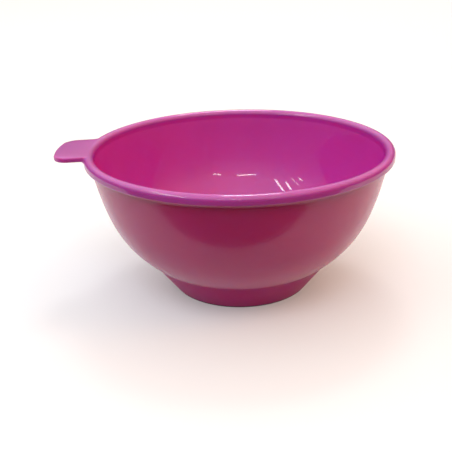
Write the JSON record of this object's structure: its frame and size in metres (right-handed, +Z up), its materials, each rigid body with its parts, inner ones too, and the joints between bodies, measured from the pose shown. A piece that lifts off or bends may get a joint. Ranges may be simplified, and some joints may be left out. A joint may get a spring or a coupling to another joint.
{
  "type": "hair color bowl",
  "caption": "Round plastic salon bowl for mixing hair colour, with a rolled rim, a flat thumb tab at the rim and a tapered foot with a non-slip ring.",
  "frame": {"origin": "centre of the bounding box's bottom face, on the surface the bowl stands on; the bowl's own axis is vertical at x = 6.2 mm, y = 0", "axes": "+Z up, -X the way the thumb tab points, +Y across the bowl"},
  "size_m": [0.1424, 0.13, 0.0618],
  "materials": {
    "bowl_plastic": "magenta moulded plastic, glossy inside and satin outside",
    "ring_rubber": "dull dark plum rubber"
  },
  "bodies": {
    "root": {"bowl": "bowl_plastic", "non_slip_ring": "ring_rubber"}
  },
  "joints": []
}
